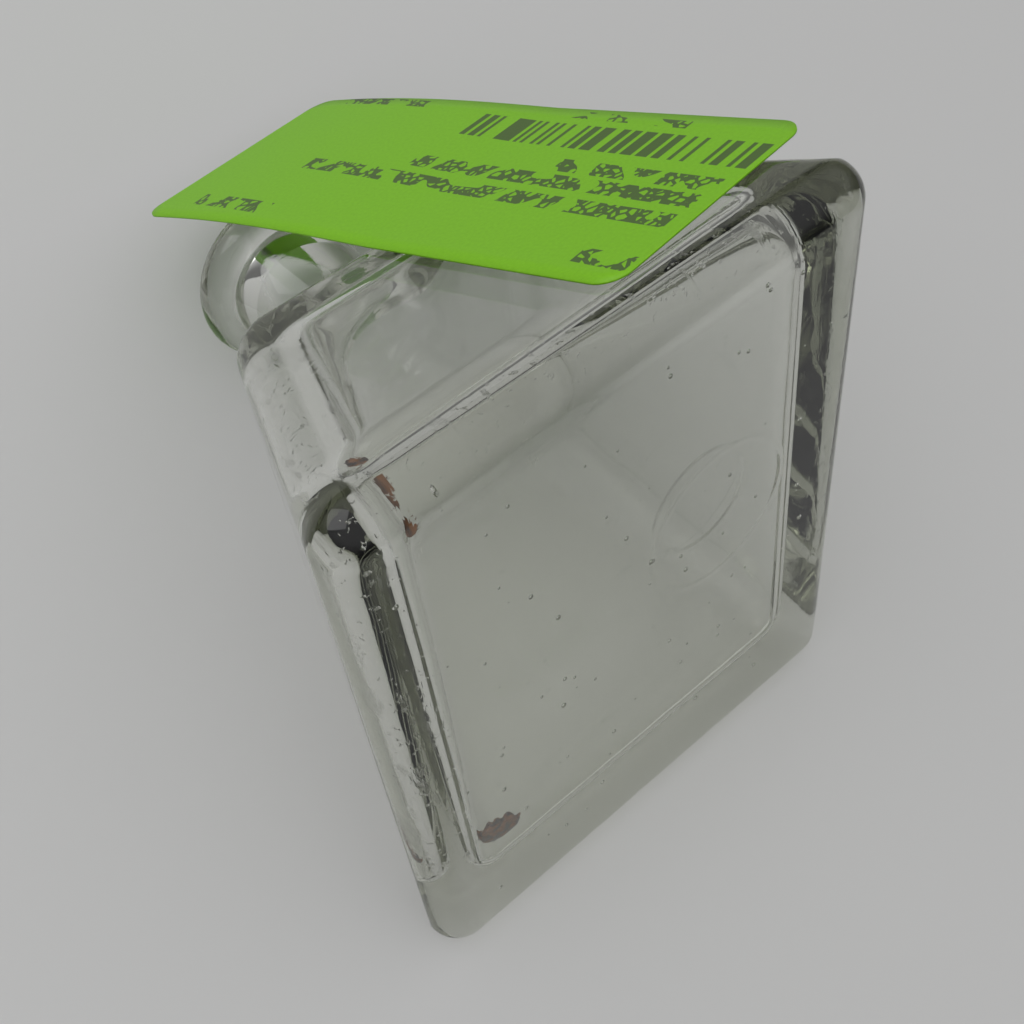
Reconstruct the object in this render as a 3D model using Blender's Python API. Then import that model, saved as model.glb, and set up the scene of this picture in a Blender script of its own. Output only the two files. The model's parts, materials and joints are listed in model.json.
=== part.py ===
"""Glass ink bottle with a sloped pen-rest front and a paper sticker, lying on its lip and front heel.

The bottle is drawn standing up, in its own axes: the base is at z = 0, the sticker is on the
back wall at -y, and the pen-rest slope is the front wall at +y. An empty then lays it down on
the rim of its lip and the front edge of its base, with the sticker on top and the neck along +Y.
"""

import math

import bmesh
import bpy
from mathutils import Matrix, Vector

# Body, metres
BASE_WIDTH = 0.050  # across the side walls, at the base
BASE_DEPTH = 0.061  # from the back wall to the front wall, at the base
SHOULDER_HEIGHT = 0.0306
SHOULDER_WIDTH = 0.0294
BACK_LEAN = 0.0089  # how far the back wall comes in between base and shoulder
FRONT_LEAN = 0.0214  # the same for the front wall, which is the slope
HEEL_RADIUS = 0.0031
SHOULDER_RADIUS = 0.0020
CORNER_RADIUS = 0.0033

# Glass thickness, metres
WALL = 0.0033
FLOOR = 0.0052
ROOF = 0.0035
INNER_HEEL_RADIUS = 0.0030
INNER_SHOULDER_RADIUS = 0.0020
INNER_CORNER_RADIUS = 0.0040

# Neck and lip, metres
NECK_RADIUS = 0.0062
NECK_ROOT = 0.0060  # height of the hollow round between shoulder and neck
BORE_RADIUS = 0.0044
LIP_RADIUS = 0.0086
LIP_HEIGHT = 0.0036
NECK_HEIGHT = 0.0211  # shoulder to the top of the lip
LIP_GAP = 0.0007  # between the lip and the sticker that reaches over it

# Pen rest: a closed trough across the slope, metres
TROUGH_DEPTH = 0.0012
TROUGH_WIDTH = 0.0100  # along the slope's height
TROUGH_LENGTH = 0.026  # across the bottle
TROUGH_HEIGHT = 0.0140  # of its middle, above the base

# Sticker, metres and degrees, placed on the back wall from the middle of the heel's upper edge
STICKER_WIDTH = 0.0239
STICKER_LENGTH = 0.0602
STICKER_THICKNESS = 0.0002
STICKER_CORNER = 0.0022
STICKER_GAP = 0.0003
STICKER_SIDE = 0.00955
STICKER_RISE = 0.03315
STICKER_TURN = 8.9

# Dried ink, metres
INK_GAP = 0.0003
INK_CROWN = 0.6  # width of a lump's top as a share of its foot
FLAKE_SIZE = (0.0042, 0.0030, 0.0006)
CRUST_SIZE = (0.0030, 0.0016, 0.0008)

SMALLEST_CORNER = 0.0004  # radius left in the plan where a round has drawn the corner in, metres
ON_WALL = 1e-6  # how near a point counts as lying on a wall, metres

ARC_STEPS = 5  # steps in a corner of the plan
SIDE_STEPS = 7  # points along a side of the plan, between two corners
ROUND_STEPS = 4  # steps in a heel, shoulder or lip radius
WALL_ROWS = 9  # rows of points up a wall
RING = 4 * (ARC_STEPS + 1 + SIDE_STEPS)


def clear_scene():
    for thing in list(bpy.data.objects):
        bpy.data.objects.remove(thing, do_unlink=True)


def principled(name, colour, roughness, transmission=0.0):
    material = bpy.data.materials.new(name)
    material.use_nodes = True
    shader = material.node_tree.nodes["Principled BSDF"]
    shader.inputs["Base Color"].default_value = (*colour, 1.0)
    shader.inputs["Roughness"].default_value = roughness
    shader.inputs["Metallic"].default_value = 0.0
    shader.inputs["Transmission Weight"].default_value = transmission
    return material


def add_object(name, mesh_builder, material, parent):
    mesh = bpy.data.meshes.new(name)
    mesh_builder.normal_update()
    mesh_builder.to_mesh(mesh)
    mesh_builder.free()
    mesh.materials.append(material)
    mesh.shade_smooth()
    mesh.set_sharp_from_angle(angle=math.radians(35))
    thing = bpy.data.objects.new(name, mesh)
    bpy.context.scene.collection.objects.link(thing)
    thing.parent = parent
    return thing


def plan_ring(half_width, front, back, radius):
    """A rounded rectangle in plan, anticlockwise from above, between y = back and y = front."""
    corners = (
        (half_width - radius, front - radius),
        (radius - half_width, front - radius),
        (radius - half_width, back + radius),
        (half_width - radius, back + radius),
    )
    points = []
    for index, (x, y) in enumerate(corners):
        start = index * math.pi / 2
        for step in range(ARC_STEPS + 1):
            angle = start + step / ARC_STEPS * math.pi / 2
            points.append(Vector((x + radius * math.cos(angle), y + radius * math.sin(angle))))
        arc_end = points[-1]
        next_x, next_y = corners[(index + 1) % 4]
        angle = start + math.pi / 2
        side_end = Vector((next_x + radius * math.cos(angle), next_y + radius * math.sin(angle)))
        for step in range(1, SIDE_STEPS + 1):
            points.append(arc_end.lerp(side_end, step / (SIDE_STEPS + 1)))
    return points


def neck_offset():
    """How far the neck's axis is from the middle of the base, so that the lip stays under the sticker."""
    rise = SHOULDER_HEIGHT - HEEL_RADIUS
    half_lip = LIP_HEIGHT / 2
    lip_middle = SHOULDER_HEIGHT + NECK_HEIGHT - half_lip
    wall = -BASE_DEPTH / 2 + BACK_LEAN * (lip_middle - HEEL_RADIUS) / rise
    room = (LIP_GAP - STICKER_GAP + half_lip) * math.hypot(rise, BACK_LEAN) / rise
    return -(wall + room + LIP_RADIUS - half_lip)


def circle_ring(radius):
    """A circle round the neck's axis, its points in step with those of plan_ring."""
    offset = neck_offset()
    turn = 2 * math.pi / RING
    first = math.pi / 4 - ARC_STEPS / 2 * turn
    return [
        Vector((radius * math.cos(first + i * turn), radius * math.sin(first + i * turn) - offset))
        for i in range(RING)
    ]


def walls_at(height, inset=0.0, thickness=0.0):
    """Half width, front and back of the body at a height, drawn in by a thickness of glass."""
    share = max(0.0, (height - HEEL_RADIUS) / (SHOULDER_HEIGHT - HEEL_RADIUS))
    side_lean = (BASE_WIDTH - SHOULDER_WIDTH) / 2
    half_width = BASE_WIDTH / 2 - share * side_lean
    front = BASE_DEPTH / 2 - share * FRONT_LEAN
    back = -BASE_DEPTH / 2 + share * BACK_LEAN
    rise = SHOULDER_HEIGHT - HEEL_RADIUS
    slant = [math.hypot(1.0, lean / rise) for lean in (side_lean, FRONT_LEAN, BACK_LEAN)]
    return (
        half_width - inset - thickness * slant[0],
        front - inset - thickness * slant[1],
        back + inset + thickness * slant[2],
    )


def round_inset(radius, share):
    """Inset and rise of a quarter round, from its flat face (share 0) to its wall (share 1)."""
    angle = share * math.pi / 2
    return radius * (1 - math.sin(angle)), radius * (1 - math.cos(angle))


def press_trough(ring, height):
    """Draws in the front wall's points where the pen rest is."""
    up = (height - TROUGH_HEIGHT) / (TROUGH_WIDTH / 2)
    if abs(up) >= 1:
        return ring
    front = max(point.y for point in ring)
    pressed = []
    for point in ring:
        along = abs(point.x) / (TROUGH_LENGTH / 2)
        on_front = point.y > front - ON_WALL
        fade = max(0.0, 1 - along**4) if on_front else 0.0
        depth = TROUGH_DEPTH * math.cos(up * math.pi / 2) ** 2 * fade
        pressed.append(Vector((point.x, point.y - depth)))
    return pressed


def body_rings(base, top, heel, shoulder, corner, thickness, trough):
    """Rings from the flat of a floor up to the flat of a shoulder."""
    rings = []
    for step in range(ROUND_STEPS + 1):
        inset, rise = round_inset(heel, step / ROUND_STEPS)
        height = base + rise
        corner_here = max(corner - inset, SMALLEST_CORNER)
        rings.append((plan_ring(*walls_at(height, inset, thickness), corner_here), height))
    low = base + heel
    high = top - shoulder
    for row in range(1, WALL_ROWS + 1):
        height = low + (high - low) * row / (WALL_ROWS + 1)
        ring = plan_ring(*walls_at(height, 0.0, thickness), corner)
        rings.append((press_trough(ring, height) if trough else ring, height))
    for step in range(ROUND_STEPS, -1, -1):
        inset, rise = round_inset(shoulder, step / ROUND_STEPS)
        height = top - rise
        corner_here = max(corner - inset, SMALLEST_CORNER)
        rings.append((plan_ring(*walls_at(height, inset, thickness), corner_here), height))
    return rings


def neck_fillet(last_ring, radius, base, rise):
    """Rings of the hollow round that carries the shoulder's plan into the neck's circle."""
    circle = circle_ring(radius)
    rings = []
    for step in range(1, ROUND_STEPS + 1):
        angle = step / ROUND_STEPS * math.pi / 2
        share = math.sin(angle)
        ring = [a.lerp(b, share) for a, b in zip(last_ring, circle)]
        rings.append((ring, base + rise * (1 - math.cos(angle))))
    return rings


def lip_rings():
    """Rings over the lip, from the outside of the neck to the inside of the bore."""
    top = SHOULDER_HEIGHT + NECK_HEIGHT
    middle = top - LIP_HEIGHT / 2
    inside = (LIP_RADIUS + BORE_RADIUS) / 2
    rings = [(circle_ring(NECK_RADIUS), top - LIP_HEIGHT)]
    steps = 2 * ROUND_STEPS
    for step in range(steps + 1):
        angle = -math.pi / 2 + step / steps * math.pi
        reach = LIP_RADIUS - LIP_HEIGHT / 2 + LIP_HEIGHT / 2 * math.cos(angle)
        rings.append((circle_ring(reach), middle + LIP_HEIGHT / 2 * math.sin(angle)))
    rings.append((circle_ring(inside), top))
    for step in range(1, ROUND_STEPS + 1):
        angle = step / ROUND_STEPS * math.pi / 2
        mouth = inside - BORE_RADIUS
        reach = inside - mouth * math.sin(angle)
        rings.append((circle_ring(reach), top - LIP_HEIGHT / 2 * (1 - math.cos(angle))))
    return rings


def skin(rings):
    """One closed surface through the rings, with a flat face at each end."""
    builder = bmesh.new()
    rows = [[builder.verts.new((p.x, p.y, height)) for p in ring] for ring, height in rings]
    for lower, upper in zip(rows, rows[1:]):
        for i in range(RING):
            j = (i + 1) % RING
            builder.faces.new((lower[i], lower[j], upper[j], upper[i]))
    builder.faces.new(list(reversed(rows[0])))
    builder.faces.new(rows[-1])
    return builder


def make_bottle(parent):
    outside = body_rings(
        0.0, SHOULDER_HEIGHT, HEEL_RADIUS, SHOULDER_RADIUS, CORNER_RADIUS, 0.0, trough=True
    )
    root = neck_fillet(outside[-1][0], NECK_RADIUS, SHOULDER_HEIGHT, NECK_ROOT)
    inner_top = SHOULDER_HEIGHT - ROOF
    inside = body_rings(
        FLOOR, inner_top, INNER_HEEL_RADIUS, INNER_SHOULDER_RADIUS, INNER_CORNER_RADIUS, WALL, trough=False
    )
    bore = neck_fillet(inside[-1][0], BORE_RADIUS, inner_top, NECK_ROOT)
    rings = outside + root + lip_rings() + list(reversed(bore)) + list(reversed(inside))
    glass = principled("glass", (0.86, 0.89, 0.85), 0.03, transmission=1.0)
    return add_object("glass_bottle", skin(rings), glass, parent)


def back_wall_frame():
    """Matrix from the sticker's own axes (x across, y up the wall, z outward) to the bottle's."""
    rise = SHOULDER_HEIGHT - HEEL_RADIUS
    up = Vector((0.0, BACK_LEAN, rise)).normalized()
    out = Vector((0.0, -rise, BACK_LEAN)).normalized()
    across = up.cross(out)
    rotation = Matrix((across, up, out)).transposed().to_4x4()
    return Matrix.Translation((0.0, -BASE_DEPTH / 2, HEEL_RADIUS)) @ rotation


def rounded_plate(width, length, thickness, radius, steps):
    """A flat plate with round corners, its lower face at z = 0."""
    builder = bmesh.new()
    outline = []
    for index, (sx, sy) in enumerate(((1, 1), (-1, 1), (-1, -1), (1, -1))):
        middle = Vector((sx * (width / 2 - radius), sy * (length / 2 - radius), 0.0))
        for step in range(steps + 1):
            angle = (index + step / steps) * math.pi / 2
            outline.append(middle + radius * Vector((math.cos(angle), math.sin(angle), 0.0)))
    face = builder.faces.new([builder.verts.new(point) for point in outline])
    grown = bmesh.ops.extrude_face_region(builder, geom=[face])
    moved = [item for item in grown["geom"] if isinstance(item, bmesh.types.BMVert)]
    bmesh.ops.translate(builder, verts=moved, vec=(0.0, 0.0, thickness))
    bmesh.ops.recalc_face_normals(builder, faces=builder.faces)
    return builder


def make_sticker(parent):
    builder = rounded_plate(STICKER_WIDTH, STICKER_LENGTH, STICKER_THICKNESS, STICKER_CORNER, 6)
    place = (
        back_wall_frame()
        @ Matrix.Translation((STICKER_SIDE, STICKER_RISE, STICKER_GAP))
        @ Matrix.Rotation(math.radians(STICKER_TURN), 4, "Z")
    )
    builder.transform(place)
    paper = principled("sticker_paper", (0.20, 0.45, 0.04), 0.55)
    return add_object("paper_sticker", builder, paper, parent)


def ink_lump(size, place):
    """A low, six-sided pyramid of dried ink with a flat underside."""
    builder = bmesh.new()
    width, depth, height = size
    rim = [
        builder.verts.new((width / 2 * math.cos(i * math.pi / 3), depth / 2 * math.sin(i * math.pi / 3), 0.0))
        for i in range(6)
    ]
    crown = [builder.verts.new((v.co.x * INK_CROWN, v.co.y * INK_CROWN, height)) for v in rim]
    for i in range(6):
        j = (i + 1) % 6
        builder.faces.new((rim[i], rim[j], crown[j], crown[i]))
    builder.faces.new(list(reversed(rim)))
    builder.faces.new(crown)
    builder.transform(place)
    return builder


def make_dried_ink(parent):
    dried = principled("dried_ink", (0.10, 0.05, 0.03), 0.8)
    half_width, front, back = walls_at(FLOOR, INNER_HEEL_RADIUS, WALL)
    rest = FLOOR + INK_GAP
    flake_place = Matrix.Translation((FLAKE_SIZE[0] / 2 - half_width, front - FLAKE_SIZE[1] / 2, rest))
    add_object("ink_flake", ink_lump(FLAKE_SIZE, flake_place), dried, parent)
    crust_place = Matrix.Translation((CRUST_SIZE[0] / 2 - half_width, back + CRUST_SIZE[1] / 2, rest))
    add_object("ink_crust", ink_lump(CRUST_SIZE, crust_place), dried, parent)


def lying_turn():
    """Turn about X that sets the lip's rim and the front heel on the ground, neck along +Y."""
    heel = Vector((BASE_DEPTH / 2 - HEEL_RADIUS, HEEL_RADIUS))
    half_lip = LIP_HEIGHT / 2
    lip = Vector((LIP_RADIUS - half_lip - neck_offset(), SHOULDER_HEIGHT + NECK_HEIGHT - half_lip))
    reach = lip - heel
    return math.atan2(-reach.y, reach.x) + math.asin((HEEL_RADIUS - half_lip) / reach.length)


def set_down(pose, things):
    """Moves the empty so that the whole object stands on z = 0, centred on the origin."""
    bpy.context.view_layer.update()
    corners = [thing.matrix_world @ v.co for thing in things for v in thing.data.vertices]
    low = [min(corner[axis] for corner in corners) for axis in range(3)]
    high = [max(corner[axis] for corner in corners) for axis in range(3)]
    pose.location = (-(low[0] + high[0]) / 2, -(low[1] + high[1]) / 2, -low[2])


def main():
    clear_scene()
    pose = bpy.data.objects.new("lying_pose", None)
    bpy.context.scene.collection.objects.link(pose)
    bottle = make_bottle(pose)
    sticker = make_sticker(pose)
    make_dried_ink(pose)
    pose.rotation_euler.x = lying_turn()
    set_down(pose, (bottle, sticker))


main()
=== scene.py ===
"""Looks for the glass ink bottle: clear pressed glass, a paper sticker and dried ink, on a pale table.

The bottle is modelled upright in its own axes, base at z = 0 and sticker on the back wall at -y. The record's
base_face mount says how it lies in the frame.
"""

import json
import math
import random

import bmesh
import bpy
from mathutils import Matrix, Vector, noise

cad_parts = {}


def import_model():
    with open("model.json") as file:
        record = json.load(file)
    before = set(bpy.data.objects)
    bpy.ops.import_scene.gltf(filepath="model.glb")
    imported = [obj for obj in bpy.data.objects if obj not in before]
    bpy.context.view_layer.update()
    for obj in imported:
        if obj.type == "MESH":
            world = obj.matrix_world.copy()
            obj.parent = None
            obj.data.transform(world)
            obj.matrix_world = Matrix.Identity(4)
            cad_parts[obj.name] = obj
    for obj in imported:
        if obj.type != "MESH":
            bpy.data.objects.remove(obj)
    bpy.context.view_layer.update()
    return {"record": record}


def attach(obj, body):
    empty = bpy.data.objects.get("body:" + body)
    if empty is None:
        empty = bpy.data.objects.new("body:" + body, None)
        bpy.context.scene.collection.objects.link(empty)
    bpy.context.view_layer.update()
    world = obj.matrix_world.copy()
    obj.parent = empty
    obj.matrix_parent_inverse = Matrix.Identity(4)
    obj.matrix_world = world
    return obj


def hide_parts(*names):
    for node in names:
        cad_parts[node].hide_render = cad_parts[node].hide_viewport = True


# Body, metres
BASE_WIDTH = 0.050
BASE_DEPTH = 0.061
SHOULDER_HEIGHT = 0.0306
SHOULDER_WIDTH = 0.0294
BACK_LEAN = 0.0089
FRONT_LEAN = 0.0214
HEEL_RADIUS = 0.0031
SHOULDER_RADIUS = 0.0020
CORNER_RADIUS = 0.0033
SMALLEST_CORNER = 0.0004  # plan radius where a rounding has used a corner up

# Cavity, metres
WALL = 0.0029
FLOOR = 0.0052
ROOF = 0.0030
INNER_HEEL_RADIUS = 0.0034
INNER_SHOULDER_RADIUS = 0.0022
INNER_CORNER_RADIUS = 0.0042

# Neck and lip, metres
NECK_OFFSET = 0.00624
NECK_RADIUS = 0.0062
NECK_ROOT = 0.0060
BORE_RADIUS = 0.0044
LIP_RADIUS = 0.0086
LIP_HEIGHT = 0.0036
NECK_HEIGHT = 0.0211

# Pen rest, a trough across the front wall, metres
TROUGH_DEPTH = 0.0012
TROUGH_WIDTH = 0.0100
TROUGH_LENGTH = 0.026
TROUGH_HEIGHT = 0.0140

# Sticker, metres, with its turn on the wall in degrees
STICKER_WIDTH = 0.0239
STICKER_LENGTH = 0.0602
STICKER_CORNER = 0.0022
STICKER_SIDE = 0.00955
STICKER_RISE = 0.03315
STICKER_TURN = 8.9
STICKER_THICKNESS = 0.0002
STICKER_GAP = 0.0003
STICKER_BOW_FROM = -0.004  # where the sticker leaves the glass, along its length
STICKER_BOW = 0.0003
STICKER_DROOP = 0.0007

# Print on the sticker, mm: each block is its middle across and along, then its half size across and along
BARCODE = (7.8, -13.4, 1.9, 16.2)
BAR_PITCH = 0.42
TEXT_TILT = 0.05  # slope of the printed lines against the paper
TEXT_LINES = (
    (10.3, 18.0, 0.6, 6.8),
    (11.3, -13.5, 0.6, 6.5),
    (3.3, -20.6, 0.95, 8.4),
    (0.9, -12.6, 0.95, 16.2),
    (-2.0, -6.2, 0.95, 22.4),
    (-7.7, -27.0, 0.95, 2.6),
    (-9.9, 18.5, 0.95, 5.9),
)

# Bubbles in the base, metres, and the mould ring on its underside
SEED_COUNT = 80
SEED_DRAW = 5
SEED_RADII = (0.00006, 0.00028)
SEED_SPREAD = 0.42  # of the base's width and depth, each way from the middle
SEED_LAYER = (0.15, 0.85)  # of the base's thickness
RING_MIDDLE = (0.0083, -0.0052, 0.0)
RING_RADIUS = 0.0073
RING_WIDTH = 0.0005
RING_HEIGHT = 0.8  # against the waves in the glass, whose height runs from 0 to 1

# Dried ink, metres: size of each lump and how far its middle is from the cavity's corner
FLAKE_SIZE = (0.0064, 0.0052, 0.0012)
FLAKE_REACH = 0.0027
CRUST_SIZE = (0.0022, 0.0015, 0.0006)
CRUST_REACH = 0.0009
INK_GAP = 0.00015
INK_MARGIN = 0.0003  # nearest that the ink comes to the cavity's wall, in plan

# Colours, linear
GLASS_TINT = (0.99, 0.995, 0.985, 1.0)
GLASS_DEPTH = (0.32, 0.35, 0.19, 1.0)  # tint of long ways through the glass
SHADOW_TINT = (0.995, 0.995, 0.99, 1.0)
PAPER_DARK = (0.19, 0.50, 0.004, 1.0)
PAPER_LIGHT = (0.25, 0.62, 0.008, 1.0)
PRINT_GREY = (0.05, 0.075, 0.03, 1.0)
INK_DARK = (0.018, 0.008, 0.006, 1.0)
INK_RUST = (0.20, 0.075, 0.02, 1.0)
TABLE_DARK = (0.575, 0.575, 0.572, 1.0)
TABLE_LIGHT = (0.605, 0.605, 0.602, 1.0)

# Glass
GLASS_IOR = 1.5
GLASS_DENSITY = 34.0  # light lost per metre of glass, before its tint
BUMP_DEPTH = 0.0004
POLISHED = 0.008  # roughness of clean glass
SCUFFED = 0.30  # roughness of worn glass
WEAR_REACH = 0.008  # how far the scuffs reach from an edge, metres
WEAR_SKIN = 0.0015  # points deeper than this are inside and unworn, metres
NECK_WEAR = 0.15
NECK_MARGIN = 0.001  # wear on the neck starts this far over the shoulder, metres

# Light and camera, metres, watts, millimetres and degrees
DOME_LOW = 0.15  # height of a direction where the dome starts to brighten, 1 being straight up
DOME_HIGH = 0.75
DOME_DARK = 0.12
DOME_BRIGHT = 0.72
LAMP_SIZE = 0.5
LAMP_POWER = 1.2
LAMP_PLACE = (-0.25, 0.25, 0.55)
CAMERA_LENS = 49.84
CAMERA_PLACE = (-0.04591, -0.02271, 0.13488)
CAMERA_TURN = (17.932, -13.216, -39.501)
TABLE_REACH = 1.5

# Fineness of the meshes
ARC_STEPS = 14
SIDE_STEPS = 26
ROUND_STEPS = 12
WALL_ROWS = 30
RING = 4 * (ARC_STEPS + 1 + SIDE_STEPS)
END_RINGS = 24
STICKER_COLUMNS = 17
STICKER_ROWS = 40
STICKER_CORNER_ROWS = 8


def bottle_axes(record):
    """Matrix from the bottle's own axes to the row frame, from the record's base_face mount."""
    mount = next(m for m in record["mounts"] if m["name"] == "base_face")
    up = -Vector(mount["axis"]).normalized()
    side = Vector((1.0, 0.0, 0.0))
    depth = up.cross(side)
    turn = Matrix((side, depth, up)).transposed().to_4x4()
    return Matrix.Translation(mount["pos_m"]) @ turn


def add_mesh(name, builder, material, place):
    """Turns builder's mesh into a smooth object in the frame."""
    mesh = bpy.data.meshes.new(name)
    builder.transform(place)
    builder.normal_update()
    builder.to_mesh(mesh)
    builder.free()
    mesh.materials.append(material)
    mesh.shade_smooth()
    thing = bpy.data.objects.new(name, mesh)
    bpy.context.scene.collection.objects.link(thing)
    return thing


def plan_ring(half_width, front, back, radius):
    """Plan points of a rounded rectangle, RING of them, anticlockwise from the +x +y corner."""
    corners = (
        (half_width - radius, front - radius),
        (radius - half_width, front - radius),
        (radius - half_width, back + radius),
        (half_width - radius, back + radius),
    )
    points = []
    for index, (x, y) in enumerate(corners):
        start = index * math.pi / 2
        for step in range(ARC_STEPS + 1):
            angle = start + step / ARC_STEPS * math.pi / 2
            points.append(Vector((x + radius * math.cos(angle), y + radius * math.sin(angle))))
        arc_end = points[-1]
        next_x, next_y = corners[(index + 1) % 4]
        angle = start + math.pi / 2
        side_end = Vector((next_x + radius * math.cos(angle), next_y + radius * math.sin(angle)))
        for step in range(1, SIDE_STEPS + 1):
            points.append(arc_end.lerp(side_end, step / (SIDE_STEPS + 1)))
    return points


def circle_ring(radius):
    """Plan points of a circle round the neck's axis, matched one to one with those of plan_ring."""
    turn = 2 * math.pi / RING
    first = math.pi / 4 - ARC_STEPS / 2 * turn
    return [
        Vector((radius * math.cos(first + i * turn), radius * math.sin(first + i * turn) - NECK_OFFSET))
        for i in range(RING)
    ]


def walls_at(height, inset=0.0, thickness=0.0):
    """Half width, front and back of the body at a height, moved in by inset and by a wall's thickness."""
    share = max(0.0, (height - HEEL_RADIUS) / (SHOULDER_HEIGHT - HEEL_RADIUS))
    side_lean = (BASE_WIDTH - SHOULDER_WIDTH) / 2
    half_width = BASE_WIDTH / 2 - share * side_lean
    front = BASE_DEPTH / 2 - share * FRONT_LEAN
    back = -BASE_DEPTH / 2 + share * BACK_LEAN
    rise = SHOULDER_HEIGHT - HEEL_RADIUS
    slant = [math.hypot(1.0, lean / rise) for lean in (side_lean, FRONT_LEAN, BACK_LEAN)]
    return (
        half_width - inset - thickness * slant[0],
        front - inset - thickness * slant[1],
        back + inset + thickness * slant[2],
    )


def round_inset(radius, share):
    """Inset and rise of a point on a quarter round, share going from its foot to its wall."""
    angle = share * math.pi / 2
    return radius * (1 - math.sin(angle)), radius * (1 - math.cos(angle))


def press_trough(ring, height):
    """Moves a ring's front in by the pen rest's depth at that height."""
    up = (height - TROUGH_HEIGHT) / (TROUGH_WIDTH / 2)
    if abs(up) >= 1:
        return ring
    front = max(point.y for point in ring)
    pressed = []
    for point in ring:
        along = abs(point.x) / (TROUGH_LENGTH / 2)
        fade = max(0.0, 1 - along**4) if point.y > front - 1e-6 else 0.0
        depth = TROUGH_DEPTH * math.cos(up * math.pi / 2) ** 2 * fade
        pressed.append(Vector((point.x, point.y - depth)))
    return pressed


def body_rings(base, top, heel, shoulder, corner, thickness, trough):
    """(plan ring, height) pairs from base to top, rounded at the heel and at the shoulder."""
    rings = []
    for step in range(ROUND_STEPS + 1):
        inset, rise = round_inset(heel, step / ROUND_STEPS)
        rounded = max(corner - inset, SMALLEST_CORNER)
        rings.append((plan_ring(*walls_at(base + rise, inset, thickness), rounded), base + rise))
    low = base + heel
    high = top - shoulder
    for row in range(1, WALL_ROWS + 1):
        height = low + (high - low) * row / (WALL_ROWS + 1)
        ring = plan_ring(*walls_at(height, 0.0, thickness), corner)
        rings.append((press_trough(ring, height) if trough else ring, height))
    for step in range(ROUND_STEPS, -1, -1):
        inset, rise = round_inset(shoulder, step / ROUND_STEPS)
        rounded = max(corner - inset, SMALLEST_CORNER)
        rings.append((plan_ring(*walls_at(top - rise, inset, thickness), rounded), top - rise))
    return rings


def neck_fillet(last_ring, radius, base, rise):
    """Rings that sweep from the shoulder's last ring into a round neck."""
    circle = circle_ring(radius)
    rings = []
    steps = 2 * ROUND_STEPS
    for step in range(1, steps + 1):
        angle = step / steps * math.pi / 2
        share = math.sin(angle)
        ring = [a.lerp(b, share) for a, b in zip(last_ring, circle)]
        rings.append((ring, base + rise * (1 - math.cos(angle))))
    return rings


def lip_rings():
    """Rings round the lip's bead and over its top into the bore."""
    top = SHOULDER_HEIGHT + NECK_HEIGHT
    middle = top - LIP_HEIGHT / 2
    inside = (LIP_RADIUS + BORE_RADIUS) / 2
    rings = [(circle_ring(NECK_RADIUS), top - LIP_HEIGHT)]
    steps = 2 * ROUND_STEPS
    for step in range(steps + 1):
        angle = -math.pi / 2 + step / steps * math.pi
        reach = LIP_RADIUS - LIP_HEIGHT / 2 + LIP_HEIGHT / 2 * math.cos(angle)
        rings.append((circle_ring(reach), middle + LIP_HEIGHT / 2 * math.sin(angle)))
    rings.append((circle_ring(inside), top))
    for step in range(1, ROUND_STEPS + 1):
        angle = step / ROUND_STEPS * math.pi / 2
        mouth = inside - BORE_RADIUS
        reach = inside - mouth * math.sin(angle)
        rings.append((circle_ring(reach), top - LIP_HEIGHT / 2 * (1 - math.cos(angle))))
    return rings


def close_end(builder, row, steps, flip):
    """Fills a ring with smaller rings of quads and a small face in the middle."""
    middle = sum((v.co for v in row), Vector()) / len(row)
    previous = row
    for step in range(1, steps + 1):
        share = 1 - step / (steps + 1)
        ring = [builder.verts.new(middle + (v.co - middle) * share) for v in row]
        for i in range(RING):
            j = (i + 1) % RING
            quad = (previous[i], previous[j], ring[j], ring[i])
            builder.faces.new(quad if flip else tuple(reversed(quad)))
        previous = ring
    builder.faces.new(previous if flip else list(reversed(previous)))


def skin(rings):
    """One closed skin over a list of rings, from the outside of the base to the floor of the cavity."""
    builder = bmesh.new()
    rows = [[builder.verts.new((p.x, p.y, height)) for p in ring] for ring, height in rings]
    for lower, upper in zip(rows, rows[1:]):
        for i in range(RING):
            j = (i + 1) % RING
            builder.faces.new((lower[i], lower[j], upper[j], upper[i]))
    close_end(builder, rows[0], END_RINGS, False)
    close_end(builder, rows[-1], END_RINGS, True)
    return builder


def add_node(tree, kind, inputs=(), **settings):
    """Adds a node. inputs pairs a socket, by name or number, with a value or with another node's output."""
    node = tree.nodes.new(kind)
    for name, value in settings.items():
        setattr(node, name, value)
    for socket, value in inputs:
        if isinstance(value, bpy.types.NodeSocket):
            tree.links.new(value, node.inputs[socket])
        else:
            node.inputs[socket].default_value = value
    return node


def maths(tree, operation, *values):
    """The output of a Math node."""
    return add_node(tree, "ShaderNodeMath", enumerate(values), operation=operation).outputs[0]


def ramp(tree, value, low, high, start=0.0, end=1.0):
    """start below low, end above high, and a smooth step between them."""
    pairs = ((0, value), (1, low), (2, high), (3, start), (4, end))
    return add_node(tree, "ShaderNodeMapRange", pairs, interpolation_type="SMOOTHSTEP").outputs[0]


def noise_field(tree, place, scale, detail, stretch=(1.0, 1.0, 1.0)):
    """Noise at a place, with its grain stretched where stretch is under 1."""
    mapped = add_node(tree, "ShaderNodeMapping", ((0, place), (3, stretch))).outputs[0]
    pairs = ((0, mapped), ("Scale", scale), ("Detail", detail))
    return add_node(tree, "ShaderNodeTexNoise", pairs).outputs[0]


def blend(tree, share, first, second):
    """The first colour where share is 0 and the second where it is 1."""
    pairs = ((0, share), (6, first), (7, second))
    return add_node(tree, "ShaderNodeMix", pairs, data_type="RGBA").outputs[2]


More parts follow.
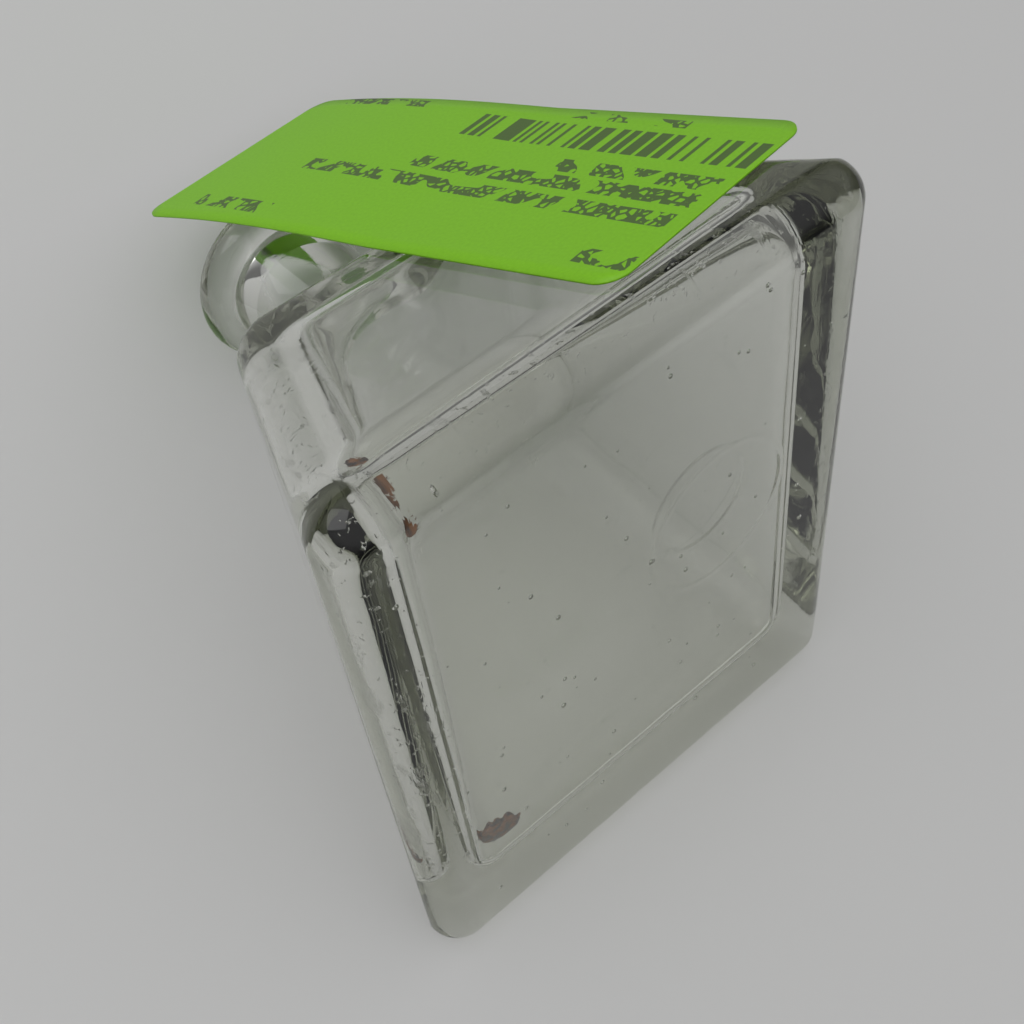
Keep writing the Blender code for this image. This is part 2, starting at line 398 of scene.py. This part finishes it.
def emboss(tree, shader, height, strength, distance):
    """Bumps the shader's surface by a height."""
    pairs = (("Strength", strength), ("Distance", distance), ("Height", height))
    tree.links.new(add_node(tree, "ShaderNodeBump", pairs).outputs[0], shader.inputs["Normal"])


def start_material(name):
    """A new node material, its tree and its Principled shader."""
    material = bpy.data.materials.new(name)
    material.use_nodes = True
    return material, material.node_tree, material.node_tree.nodes["Principled BSDF"]


def mould_ring(tree):
    """Height of the faint ring on the underside, from the plan attribute."""
    plan = add_node(tree, "ShaderNodeAttribute", attribute_name="plan").outputs["Vector"]
    pairs = ((0, plan), (1, RING_MIDDLE))
    reach = add_node(tree, "ShaderNodeVectorMath", pairs, operation="DISTANCE").outputs["Value"]
    off_ring = maths(tree, "ABSOLUTE", maths(tree, "SUBTRACT", reach, RING_RADIUS))
    return ramp(tree, off_ring, 0.0, RING_WIDTH, RING_HEIGHT, 0.0)


def glass_material():
    """Clear pressed glass: faint waves in its skin, and scratches where its wear attribute is high.

    A shadow ray passes straight through, so that light reaches the table under the bottle.
    """
    material, tree, shader = start_material("clear_glass")
    shader.inputs["Base Color"].default_value = GLASS_TINT
    shader.inputs["IOR"].default_value = GLASS_IOR
    shader.inputs["Transmission Weight"].default_value = 1.0
    place = add_node(tree, "ShaderNodeTexCoord").outputs["Object"]
    wear = add_node(tree, "ShaderNodeAttribute", attribute_name="wear").outputs["Fac"]
    scratches = ramp(tree, noise_field(tree, place, 900.0, 4.0, (1.0, 0.12, 0.3)), 0.56, 0.70)
    pits = ramp(tree, noise_field(tree, place, 1600.0, 3.0), 0.62, 0.70)
    marks = maths(tree, "MULTIPLY", maths(tree, "MAXIMUM", scratches, pits), wear)
    tree.links.new(ramp(tree, marks, 0.0, 1.0, POLISHED, SCUFFED), shader.inputs["Roughness"])
    waves = noise_field(tree, place, 140.0, 1.0)
    height = maths(tree, "MULTIPLY_ADD", marks, -0.35, waves)
    height = maths(tree, "ADD", height, mould_ring(tree))
    emboss(tree, shader, height, 0.12, BUMP_DEPTH)
    clear = add_node(tree, "ShaderNodeBsdfTransparent", (("Color", SHADOW_TINT),)).outputs[0]
    shadow_ray = add_node(tree, "ShaderNodeLightPath").outputs["Is Shadow Ray"]
    mix = add_node(tree, "ShaderNodeMixShader", ((0, shadow_ray), (1, shader.outputs[0]), (2, clear)))
    output = tree.nodes["Material Output"]
    tree.links.new(mix.outputs[0], output.inputs["Surface"])
    depth = add_node(tree, "ShaderNodeVolumeAbsorption", (("Color", GLASS_DEPTH), ("Density", GLASS_DENSITY)))
    tree.links.new(depth.outputs[0], output.inputs["Volume"])
    return material


def mark_wear(builder):
    """Stores each point's place, and how worn it is: most on the outer edges and the heel, none inside."""
    wear = builder.verts.layers.float.new("wear")
    plan = builder.verts.layers.float_vector.new("plan")
    for vert in builder.verts:
        x, y, z = vert.co
        vert[plan] = vert.co
        if z > SHOULDER_HEIGHT + NECK_MARGIN:
            vert[wear] = NECK_WEAR
            continue
        half_width, front, back = walls_at(max(z, HEEL_RADIUS))
        deep = min(half_width - abs(x), front - y, y - back) if z < SHOULDER_HEIGHT else 0.0
        gaps = sorted((half_width - abs(x), min(front - y, y - back), z, SHOULDER_HEIGHT - z))
        near_edge = 1.0 - (gaps[0] + gaps[1]) / WEAR_REACH
        vert[wear] = max(0.0, near_edge) if deep < WEAR_SKIN or z < WEAR_SKIN else 0.0


def add_seeds(builder):
    """Small bubbles inside the base, their faces turned into the bubble because they bound the glass."""
    dice = random.Random(SEED_DRAW)
    for _ in range(SEED_COUNT):
        radius = dice.uniform(*SEED_RADII)
        spot = (
            dice.uniform(-SEED_SPREAD, SEED_SPREAD) * BASE_WIDTH,
            dice.uniform(-SEED_SPREAD, SEED_SPREAD) * BASE_DEPTH,
            dice.uniform(*SEED_LAYER) * FLOOR,
        )
        place = Matrix.Translation(spot)
        ball = bmesh.ops.create_icosphere(builder, subdivisions=2, radius=radius, matrix=place)
        faces = list({face for vert in ball["verts"] for face in vert.link_faces})
        bmesh.ops.reverse_faces(builder, faces=faces)


def make_bottle(place):
    """The glass: outside, neck, lip, bore and cavity in one closed skin, with bubbles in the base."""
    outside = body_rings(0.0, SHOULDER_HEIGHT, HEEL_RADIUS, SHOULDER_RADIUS, CORNER_RADIUS, 0.0, True)
    root = neck_fillet(outside[-1][0], NECK_RADIUS, SHOULDER_HEIGHT, NECK_ROOT)
    inner_top = SHOULDER_HEIGHT - ROOF
    inside = body_rings(
        FLOOR, inner_top, INNER_HEEL_RADIUS, INNER_SHOULDER_RADIUS, INNER_CORNER_RADIUS, WALL, False
    )
    bore = neck_fillet(inside[-1][0], BORE_RADIUS, inner_top, NECK_ROOT)
    rings = outside + root + lip_rings() + list(reversed(bore)) + list(reversed(inside))
    builder = skin(rings)
    add_seeds(builder)
    mark_wear(builder)
    bottle = add_mesh("bottle_glass", builder, glass_material(), place)
    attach(bottle, "root")
    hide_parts("glass_bottle")


def back_wall_frame():
    """Axes of the back wall: x across, y up the slope, z out of the glass, from the middle of the heel."""
    rise = SHOULDER_HEIGHT - HEEL_RADIUS
    up = Vector((0.0, BACK_LEAN, rise)).normalized()
    out = Vector((0.0, -rise, BACK_LEAN)).normalized()
    across = up.cross(out)
    rotation = Matrix((across, up, out)).transposed().to_4x4()
    return Matrix.Translation((0.0, -BASE_DEPTH / 2, HEEL_RADIUS)) @ rotation


def block(tree, across, along, box):
    """1 inside a block of the sticker, box being its middle and half size across and along, in mm."""
    middle_x, middle_y, half_x, half_y = box
    in_x = maths(tree, "COMPARE", across, middle_x, half_x)
    in_y = maths(tree, "COMPARE", along, middle_y, half_y)
    return maths(tree, "MULTIPLY", in_x, in_y)


def paper_material():
    """Fluorescent paper with a row of print bars and lines of grey marks that spell nothing."""
    material, tree, shader = start_material("sticker_paper")
    shader.inputs["Roughness"].default_value = 0.55
    spot = add_node(tree, "ShaderNodeUVMap", uv_map="print_mm").outputs[0]
    parts = add_node(tree, "ShaderNodeSeparateXYZ", ((0, spot),)).outputs
    across, along = parts[0], parts[1]
    level = maths(tree, "MULTIPLY_ADD", along, -TEXT_TILT, across)
    bars_at = maths(tree, "FLOOR", maths(tree, "MULTIPLY", along, 1.0 / BAR_PITCH))
    chance = add_node(tree, "ShaderNodeTexWhiteNoise", (("W", bars_at),), noise_dimensions="1D").outputs[0]
    bars = maths(tree, "GREATER_THAN", chance, 0.45)
    ink = maths(tree, "MULTIPLY", bars, block(tree, level, along, BARCODE))
    cells = add_node(tree, "ShaderNodeMapping", ((0, spot), (3, (1.15, 1.3, 1.0)))).outputs[0]
    pairs = ((0, cells), ("Scale", 1.0))
    scribble = add_node(tree, "ShaderNodeTexVoronoi", pairs, feature="DISTANCE_TO_EDGE")
    strokes = maths(tree, "LESS_THAN", scribble.outputs[0], 0.17)
    gaps = maths(tree, "GREATER_THAN", noise_field(tree, spot, 0.42, 0.0), 0.42)
    strokes = maths(tree, "MULTIPLY", strokes, gaps)
    for box in TEXT_LINES:
        line = maths(tree, "MULTIPLY", strokes, block(tree, level, along, box))
        ink = maths(tree, "MAXIMUM", ink, line)
    fibre = noise_field(tree, spot, 3.0, 4.0)
    paper = blend(tree, fibre, PAPER_DARK, PAPER_LIGHT)
    colour = blend(tree, maths(tree, "MULTIPLY", ink, 0.85), paper, PRINT_GREY)
    tree.links.new(colour, shader.inputs["Base Color"])
    emboss(tree, shader, fibre, 0.15, 0.00005)
    return material


def sticker_rows():
    """(distance along, half width) of each row of points, dense round the corners."""
    half = STICKER_WIDTH / 2
    end = STICKER_LENGTH / 2 - STICKER_CORNER
    rounding = []
    for step in range(STICKER_CORNER_ROWS + 1):
        angle = math.pi / 2 * step / STICKER_CORNER_ROWS
        narrower = STICKER_CORNER * (1 - math.cos(angle))
        rounding.append((end + STICKER_CORNER * math.sin(angle), half - narrower))
    rows = [(-along, width) for along, width in reversed(rounding)]
    for step in range(1, STICKER_ROWS):
        rows.append((-end + 2 * end * step / STICKER_ROWS, half))
    return rows + rounding


def sticker_lift(along):
    """Height over the wall's plane: flat on the glass, a low bow over the gap, and a droop past the lip."""
    free = max(0.0, along - STICKER_BOW_FROM) / (STICKER_LENGTH / 2 - STICKER_BOW_FROM)
    return STICKER_BOW * math.sin(free * math.pi) - STICKER_DROOP * free**3


def make_sticker(place):
    """The paper sticker: a top, an underside and the cut edge between them, with the print's places in mm."""
    columns = STICKER_COLUMNS
    builder = bmesh.new()
    uv = builder.loops.layers.uv.new("print_mm")
    sides = []
    for lift in (0.0, STICKER_THICKNESS):
        rows = []
        for along, half in sticker_rows():
            height = sticker_lift(along) + lift
            places = [(half * (2 * i / (columns - 1) - 1), along, height) for i in range(columns)]
            rows.append([builder.verts.new(point) for point in places])
        sides.append(rows)
    for rows, flip in ((sides[0], True), (sides[1], False)):
        for lower, upper in zip(rows, rows[1:]):
            for i in range(columns - 1):
                quad = (lower[i], lower[i + 1], upper[i + 1], upper[i])
                builder.faces.new(tuple(reversed(quad)) if flip else quad)
    rims = []
    for rows in sides:
        left = [row[0] for row in rows]
        right = [row[-1] for row in rows]
        rims.append(rows[0][:-1] + right + list(reversed(rows[-1][:-1])) + list(reversed(left[1:-1])))
    for i in range(len(rims[0])):
        j = (i + 1) % len(rims[0])
        builder.faces.new((rims[0][i], rims[0][j], rims[1][j], rims[1][i]))
    for face in builder.faces:
        for loop in face.loops:
            loop[uv].uv = (loop.vert.co.x * 1000, loop.vert.co.y * 1000)
    bmesh.ops.recalc_face_normals(builder, faces=builder.faces)
    on_wall = (
        back_wall_frame()
        @ Matrix.Translation((STICKER_SIDE, STICKER_RISE, STICKER_GAP))
        @ Matrix.Rotation(math.radians(STICKER_TURN), 4, "Z")
    )
    sticker = add_mesh("sticker", builder, paper_material(), place @ on_wall)
    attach(sticker, "root")
    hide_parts("paper_sticker")


def ink_material():
    """Dried ink: nearly black in the thick parts and rust brown where it is thin."""
    material, tree, shader = start_material("dried_ink")
    place = add_node(tree, "ShaderNodeTexCoord").outputs["Object"]
    grain = noise_field(tree, place, 1300.0, 4.0)
    colour = blend(tree, ramp(tree, grain, 0.42, 0.62), INK_DARK, INK_RUST)
    tree.links.new(colour, shader.inputs["Base Color"])
    tree.links.new(ramp(tree, grain, 0.3, 0.7, 0.35, 0.75), shader.inputs["Roughness"])
    emboss(tree, shader, grain, 0.5, 0.0002)
    return material


def rest_on_corner(plan, corner):
    """Where ink over a point in plan rests in the cavity's rounded corner, whose centre in plan is corner."""
    reach = INNER_CORNER_RADIUS - INK_MARGIN
    out = Vector((min(plan.x - corner.x, 0.0), plan.y - corner.y))
    out.y = max(out.y, 0.0) if corner.y > 0 else min(out.y, 0.0)
    inset = max(INNER_CORNER_RADIUS - out.length, INK_MARGIN)
    short = max(INNER_HEEL_RADIUS - inset, 0.0)
    rise = INNER_HEEL_RADIUS - math.sqrt(INNER_HEEL_RADIUS**2 - short**2)
    if out.length > reach:
        plan = corner + out.normalized() * reach
    return Vector((plan.x, plan.y, FLOOR + INK_GAP + rise))


def ink_lump(size, seed, middle, corner):
    """A low ragged lump that follows the rounded corner of the cavity."""
    builder = bmesh.new()
    bmesh.ops.create_icosphere(builder, subdivisions=5, radius=1.0)
    for vert in builder.verts:
        spot = vert.co.copy()
        ragged = 0.72 + 0.28 * noise.noise(spot * 1.9 + seed) + 0.12 * noise.noise(spot * 5.5 + seed)
        height = max(spot.z, 0.0) ** 0.6 * (0.75 + 0.5 * noise.noise(spot * 3.1 - seed))
        plan = middle + Vector((spot.x * size[0], spot.y * size[1])) * ragged / 2
        vert.co = rest_on_corner(plan, corner) + Vector((0.0, 0.0, height * size[2]))
    return builder


def make_ink(place):
    """A flake in the front left corner of the cavity's floor and a thinner crust in the back left corner."""
    dried = ink_material()
    half_width, front, back = walls_at(FLOOR + INNER_HEEL_RADIUS, 0.0, WALL)
    radius = INNER_CORNER_RADIUS
    slant = math.sqrt(0.5)
    lumps = (
        ("ink_flake", FLAKE_SIZE, (1.3, 4.1, 2.2), FLAKE_REACH, front - radius, slant),
        ("ink_crust", CRUST_SIZE, (7.4, 0.6, 5.9), CRUST_REACH, back + radius, -slant),
    )
    for name, size, seed, reach, corner_y, toward in lumps:
        corner = Vector((radius - half_width, corner_y))
        middle = corner + Vector((-slant, toward)) * (radius - reach)
        lump = add_mesh(name + "_lump", ink_lump(size, Vector(seed), middle, corner), dried, place)
        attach(lump, "root")
        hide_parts(name)


def make_floor():
    """A plain pale table, cloudy by a few hundredths."""
    material, tree, shader = start_material("table")
    place = add_node(tree, "ShaderNodeTexCoord").outputs["Object"]
    cloud = noise_field(tree, place, 3.0, 3.0)
    tree.links.new(blend(tree, cloud, TABLE_DARK, TABLE_LIGHT), shader.inputs["Base Color"])
    shader.inputs["Roughness"].default_value = 0.7
    mesh = bpy.data.meshes.new("table")
    corners = [(x * TABLE_REACH, y * TABLE_REACH, 0) for x, y in ((-1, -1), (1, -1), (1, 1), (-1, 1))]
    mesh.from_pydata(corners, [], [(0, 1, 2, 3)])
    mesh.materials.append(material)
    table = bpy.data.objects.new("table", mesh)
    bpy.context.scene.collection.objects.link(table)


def make_camera():
    camera = bpy.data.cameras.new("camera")
    camera.lens = CAMERA_LENS
    camera.sensor_width = 36.0
    camera.clip_start = 0.005
    thing = bpy.data.objects.new("camera", camera)
    thing.location = CAMERA_PLACE
    thing.rotation_euler = [math.radians(a) for a in CAMERA_TURN]
    bpy.context.scene.collection.objects.link(thing)
    bpy.context.scene.camera = thing


def make_lamp():
    """A large soft lamp above, aimed at the bottle."""
    lamp = bpy.data.lights.new("overhead", "AREA")
    lamp.shape = "SQUARE"
    lamp.size = LAMP_SIZE
    lamp.energy = LAMP_POWER
    thing = bpy.data.objects.new("overhead", lamp)
    thing.location = LAMP_PLACE
    thing.rotation_euler = (-Vector(LAMP_PLACE)).to_track_quat("-Z", "Y").to_euler()
    bpy.context.scene.collection.objects.link(thing)


def make_dome():
    """A dome of light that is bright overhead and dark near the horizon."""
    world = bpy.data.worlds.new("studio")
    world.use_nodes = True
    tree = world.node_tree
    direction = add_node(tree, "ShaderNodeTexCoord").outputs["Generated"]
    up = add_node(tree, "ShaderNodeSeparateXYZ", ((0, direction),)).outputs[2]
    glow = ramp(tree, up, DOME_LOW, DOME_HIGH, DOME_DARK, DOME_BRIGHT)
    background = tree.nodes["Background"]
    background.inputs["Color"].default_value = (1.0, 1.0, 1.0, 1.0)
    tree.links.new(glow, background.inputs["Strength"])
    bpy.context.scene.world = world


def main():
    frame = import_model()
    place = bottle_axes(frame["record"])
    make_bottle(place)
    make_sticker(place)
    make_ink(place)
    make_floor()
    make_camera()
    make_dome()
    make_lamp()
    scene = bpy.context.scene
    scene.cycles.max_bounces = 24
    scene.cycles.transmission_bounces = 24
    scene.cycles.glossy_bounces = 12
    scene.cycles.caustics_refractive = True
    scene.cycles.caustics_reflective = False
    scene.view_settings.view_transform = "Standard"


main()
